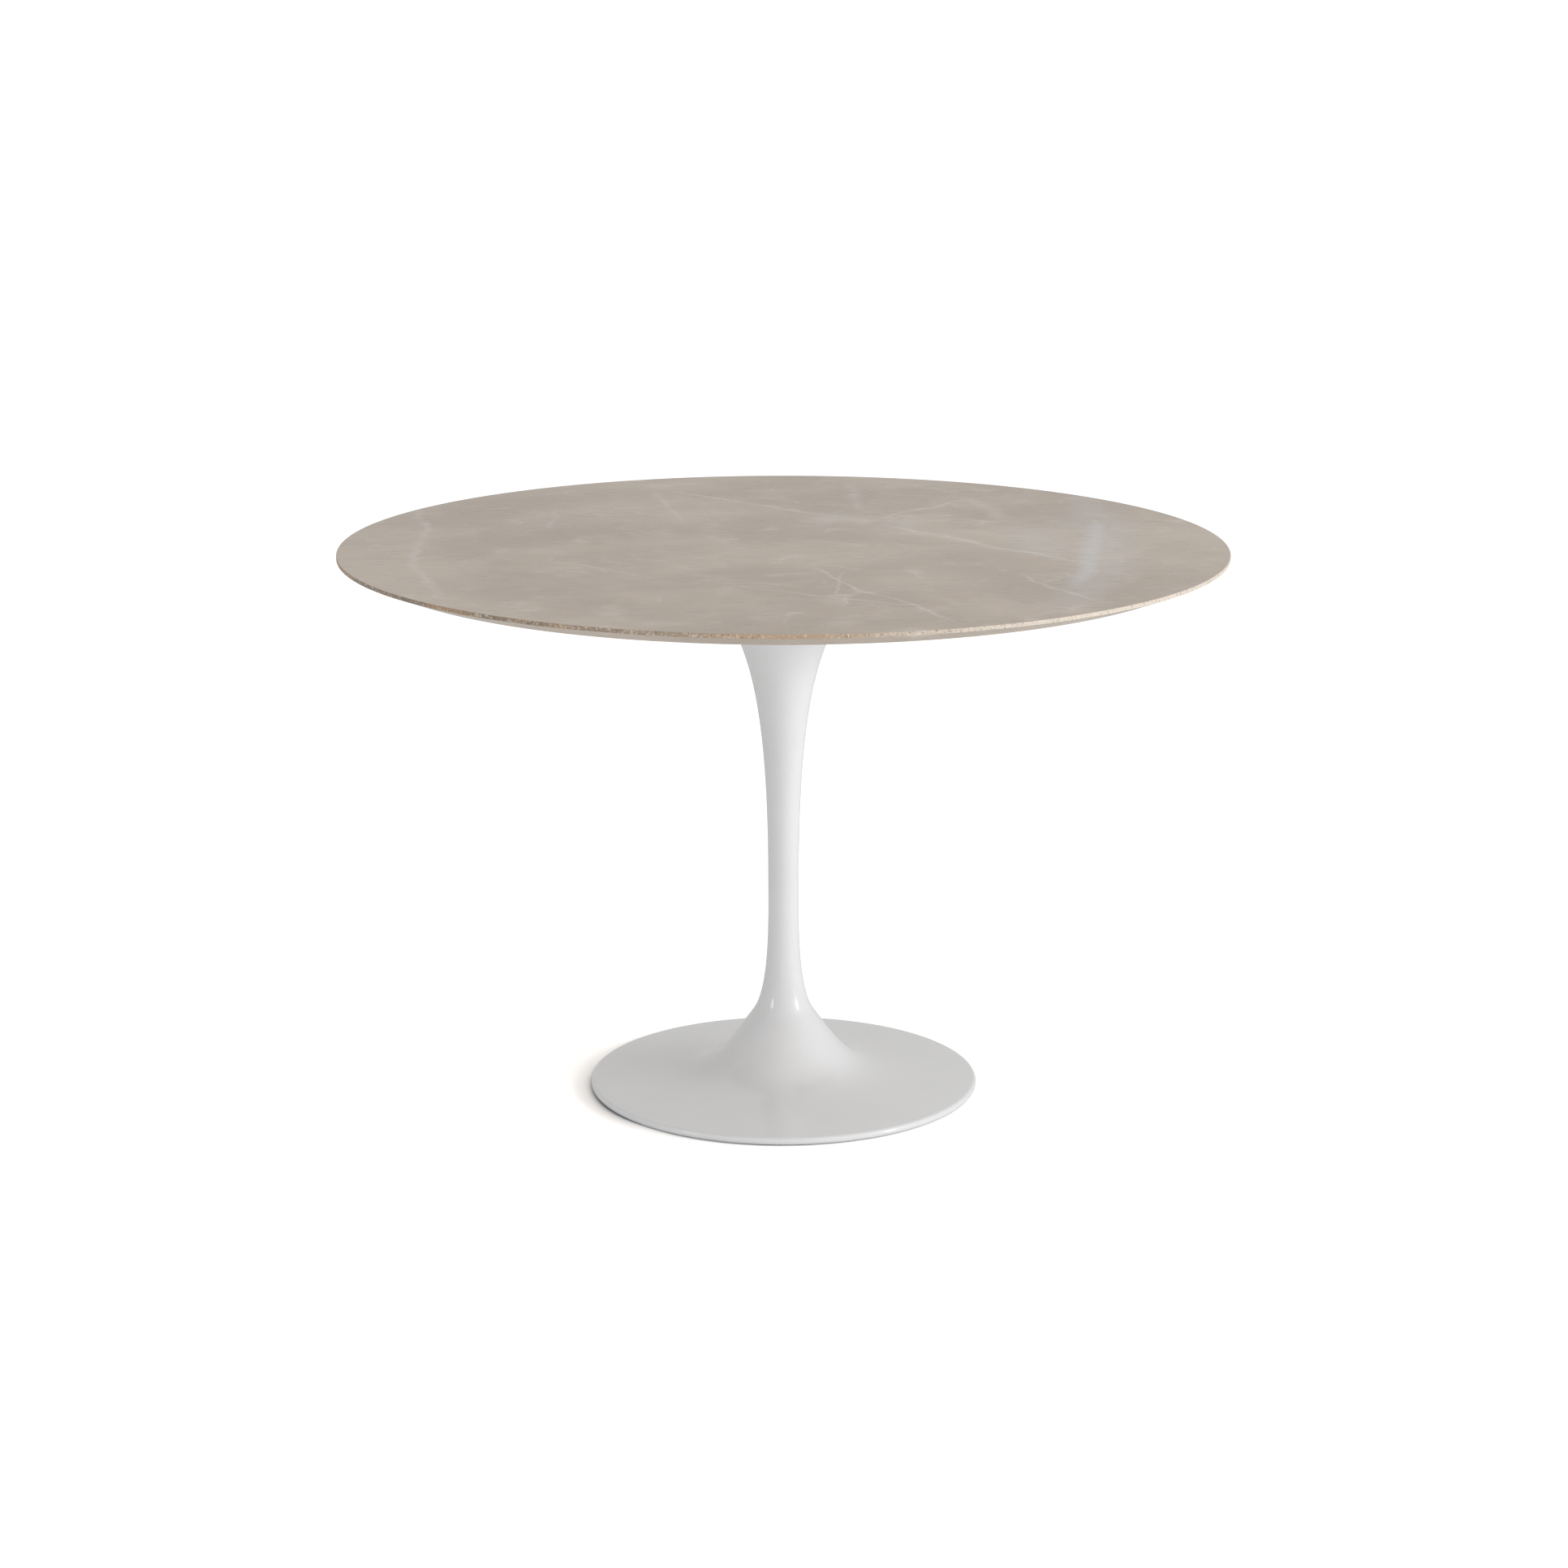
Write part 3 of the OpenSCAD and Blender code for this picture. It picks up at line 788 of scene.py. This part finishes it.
washer = turned(
    "plate_washers_look", ring_outline(0.0032, 0.006, plate_low.z - washer_t, plate_low.z, 0.00025), 48
)
smooth(washer)
washers = around(washer, screw_n, screw_pcr)
finished(washers, "plate_washers", zinc)


# ---- Dowel pins ----
# Two ground steel pins, pressed into the head of the casting, that stand up into the plate and
# keep it from turning.
pin_low, pin_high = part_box("dowel_pins")
pin_end = [(0, 0), (0.0023, 0), (0.0027, 0.0001), (0.0029, 0.0003), (dowel_r, 0.0007)]
pin_outline = [(r, pin_low.z + h) for r, h in pin_end]
pin_outline += [(r, pin_high.z - h) for r, h in reversed(pin_end)]
pin = turned("dowel_pins_look", pin_outline, 48)
smooth(pin)
pins = around(pin, 2, dowel_pcr)
finished(pins, "dowel_pins", steel)


# ---- Tie rod and clamp ----
# One M16 rod screws into the plate's hub and runs down the stem. Inside the foot a thick clamp
# plate, a washer, a spring washer and a hexagon nut draw the casting up against the plate.
rod_low, rod_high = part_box("tie_rod")
rod_r, rod_root_r, rod_plain_r, rod_pitch = 0.008, 0.0068, 0.0078, 0.002
rod_outline = [(0, rod_low.z), (rod_root_r, rod_low.z)]
rod_outline += grooves(rod_r, rod_root_r, rod_low.z + 0.001, rod_low.z + 0.061, rod_pitch)
rod_outline += [(rod_plain_r, rod_low.z + 0.062), (rod_plain_r, rod_high.z - 0.042)]
rod_outline += grooves(rod_r, rod_root_r, rod_high.z - 0.041, rod_high.z - 0.001, rod_pitch)
rod_outline += [(rod_root_r, rod_high.z), (0, rod_high.z)]
rod = turned("tie_rod_look", rod_outline, 64)
smooth(rod)
rod_zinc = metal("rod_zinc", (0.50, 0.51, 0.52, 1), (0.66, 0.67, 0.68, 1), (0.36, 0.36, 0.37, 1), 0.30)
finished(rod, "tie_rod", rod_zinc)

clamp_low, clamp_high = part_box("clamp_plate")
clamp = turned("clamp_plate_look", ring_outline(0.0088, clamp_high.x, clamp_low.z, clamp_high.z, 0.0008))
smooth(clamp)
finished(clamp, "clamp_plate", steel)

flat_low, flat_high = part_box("rod_washer")
flat = turned("rod_washer_look", ring_outline(0.0085, flat_high.x, flat_low.z, flat_high.z, 0.0004))
smooth(flat)
finished(flat, "rod_washer", rod_zinc)

split_low, split_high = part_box("rod_spring_washer")
split = turned(
    "rod_spring_washer_look", ring_outline(0.0083, split_high.y, split_low.z, split_high.z, 0.0003)
)
bpy.ops.object.select_all(action="DESELECT")
slot_place = (0.011, 0, (split_low.z + split_high.z) / 2)
bpy.ops.mesh.primitive_cube_add(size=1, location=slot_place, rotation=(math.radians(30), 0, 0))
slot = bpy.context.object
slot.scale = (0.014, 0.0012, 0.014)
bpy.ops.object.transform_apply(location=True, rotation=True, scale=True)
cut(split, slot)
smooth(split)
sprung = metal("spring_steel", (0.17, 0.17, 0.18, 1), (0.26, 0.26, 0.27, 1), (0.40, 0.40, 0.41, 1), 0.38)
finished(split, "rod_spring_washer", sprung)

nut_low, nut_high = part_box("rod_nut")
nut_r = nut_high.x
nut = hex_tool(nut_r, nut_low.z, nut_high.z)
nut.name = "rod_nut_look"
domed_ends = [(0, nut_low.z), (0.0118, nut_low.z), (nut_r + 0.0002, nut_low.z + 0.0013)]
domed_ends += [(nut_r + 0.0002, nut_high.z - 0.0013), (0.0118, nut_high.z), (0, nut_high.z)]
cone = turned("nut_chamfers", domed_ends)
apply(nut, "BOOLEAN", operation="INTERSECT", object=cone, solver="EXACT")
bpy.data.objects.remove(cone)
bore = [(0, nut_low.z - past), (0.0088, nut_low.z - past), (0.0088, nut_low.z + 0.0004)]
bore += grooves(0.00805, 0.0086, nut_low.z + 0.001, nut_high.z - 0.001, rod_pitch)
bore += [(0.0088, nut_high.z - 0.0004), (0.0088, nut_high.z + past), (0, nut_high.z + past)]
cut(nut, turned("nut_bore", bore, 64))
smooth(nut)
finished(nut, "rod_nut", rod_zinc)


# ---- Foot cover and its screws ----
# A disc of black-painted sheet steel closes the space under the foot. Four small button-head
# screws hold it up to the casting.
cover_low, cover_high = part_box("foot_cover")
cover_hole_r = 0.0023
cover_screw_low, cover_screw_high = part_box("cover_screws")
cover = turned("foot_cover_look", disc_outline(cover_high.y, cover_low.z, cover_high.z, 0.0002), 160)
under, over = cover_low.z - past, cover_high.z + past
cut(cover, ring_of_rods("cover_holes", 4, cover_screw_pcr, cover_hole_r, under, over, 22.5))
smooth(cover)
black_paint = metal(
    "black_paint",
    (0.018, 0.018, 0.019, 1),
    (0.030, 0.030, 0.031, 1),
    (0.075, 0.073, 0.070, 1),
    0.48,
    grain=1100.0,
    bump=0.3,
    metallic=0.0,
)
finished(cover, "foot_cover", black_paint)

m4_r, m4_root_r, m4_pitch = 0.0020, 0.0016, 0.0007
key_2_5_r, cover_key_depth = 0.00144, 0.0010
z = cover_screw_low.z
small_outline = [(0, z), (0.0021, z), (0.0029, z + 0.0003), (0.0035, z + 0.0009), (0.0038, z + 0.0016)]
small_outline += [(0.0038, z + 0.0021), (0.0037, z + 0.0022)]
small_outline += grooves(m4_r, m4_root_r, z + 0.0022, cover_screw_high.z - 0.0005, m4_pitch)
small_outline += [(0.0014, cover_screw_high.z), (0, cover_screw_high.z)]
cover_screw = turned("cover_screws_look", small_outline, 40)
cut(cover_screw, hex_tool(key_2_5_r, z - past, z + cover_key_depth))
smooth(cover_screw)
cover_screws = around(cover_screw, 4, cover_screw_pcr, 22.5)
finished(cover_screws, "cover_screws", zinc)


# ---- Glide ring ----
# The table stands on a moulded ring of clear nylon. It is pressed into a groove under the foot and
# stands out of it by a millimetre and a half.
glide_low, glide_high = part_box("glide_ring")
glide_outline = ring_outline(glide_in_r, glide_out_r, glide_low.z, glide_high.z, 0.0008)
glide = turned("glide_ring_look", glide_outline, 160)
smooth(glide, 60)


def nylon(name, dark, light, rough, clear=0.0):
    """Moulded nylon: slow clouding, a fine moulded skin and a little dust in it."""
    finish, tree, shader, place = finish_named(name)
    cloud = noise(tree, place, 45.0, 4.0, 0.6).outputs["Fac"]
    skin = noise(tree, place, 1300.0, 2.0, 0.5).outputs["Fac"]
    dust = span(tree, noise(tree, place, 240.0, 3.0, 0.7).outputs["Fac"], 0.60, 0.72, 0.0, 0.35)
    tone = blend(tree, span(tree, cloud, 0.35, 0.65), dark, light)
    tree.links.new(blend(tree, dust, tone, (0.42, 0.41, 0.39, 1)), shader.inputs["Base Color"])
    tree.links.new(calc(tree, "MULTIPLY_ADD", dust, 0.3, rough), shader.inputs["Roughness"])
    shader.inputs["Subsurface Weight"].default_value = clear
    shader.inputs["Subsurface Scale"].default_value = 0.004
    relief = put(tree, "ShaderNodeBump", {"Height": skin, "Strength": 0.15, "Distance": 0.0001})
    tree.links.new(relief.outputs["Normal"], shader.inputs["Normal"])
    return finish


clear_nylon = nylon("clear_nylon", (0.56, 0.56, 0.54, 1), (0.66, 0.66, 0.64, 1), 0.38, 0.15)
finished(glide, "glide_ring", clear_nylon)


# ---- Levellers ----
# Four brass bushes are pressed into the foot. A steel stud screws in each, with a black nylon pad
# snapped on its lower end; a key put up through the pad turns the stud, and the pad comes down.
bush_low, bush_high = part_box("leveller_bushes")
bush_outline = ring_outline(0.00405, bush_r, bush_low.z, bush_high.z, 0.0004)
bush = turned("leveller_bushes_look", bush_outline, 48)
smooth(bush)
bushes = around(bush, 4, leveller_pcr, 45)
finished(bushes, "leveller_bushes", brass)

pad_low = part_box("leveller_pad_1")[0]
stud_low, stud_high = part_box("leveller_stud_1")
z = pad_low.z
pad_outline = [(0.0025, z + 0.0004), (0.0029, z), (0.0115, z), (0.0122, z + 0.0003), (0.0125, z + 0.0010)]
pad_outline += [(0.0125, z + 0.0028), (0.0121, z + 0.0035), (0.0112, z + 0.0040), (0.0070, z + 0.0040)]
pad_outline += [(0.0044, z + 0.0040), (0.00405, z + 0.0036), (0.00405, z + 0.0015), (0.0025, z + 0.0015)]
pad_outline += pad_outline[:1]
pad = turned("pad_pattern", pad_outline, 72)
cut(pad, ring_of_rods("pad_grips", 12, 0.0131, 0.0012, z - 0.001, z + 0.005))
smooth(pad, 50)
black_nylon = nylon("black_nylon", (0.016, 0.016, 0.017, 1), (0.028, 0.028, 0.029, 1), 0.42)

m8_r, m8_root_r, m8_pitch = 0.0040, 0.0034, 0.00125
stud_key_depth = 0.004
z = stud_low.z
stud_outline = [(0, z), (0.0036, z), (m8_r, z + 0.0004), (m8_r, z + 0.0026), (0.0035, z + 0.0029)]
stud_outline += grooves(m8_r, m8_root_r, z + 0.0032, stud_high.z - 0.0006, m8_pitch)
stud_outline += [(0.0033, stud_high.z), (0, stud_high.z)]
stud = turned("stud_pattern", stud_outline, 48)
cut(stud, hex_tool(key_4_r, z - past, z + stud_key_depth))
smooth(stud)

for i, turn in enumerate((225, 315, 45, 135), 1):
    for pattern, kind, material, slot in (
        (pad, "leveller_pad", black_nylon, "black_nylon"),
        (stud, "leveller_stud", zinc, "zinc_screws"),
    ):
        twin = pattern.copy()
        twin.data = pattern.data.copy()
        twin.name = f"{kind}_{i}_look"
        bpy.context.collection.objects.link(twin)
        twin = around(twin, 1, leveller_pcr, turn)
        finished(twin, f"{kind}_{i}", material, f"{kind}_{i}")
bpy.data.objects.remove(pad)
bpy.data.objects.remove(stud)
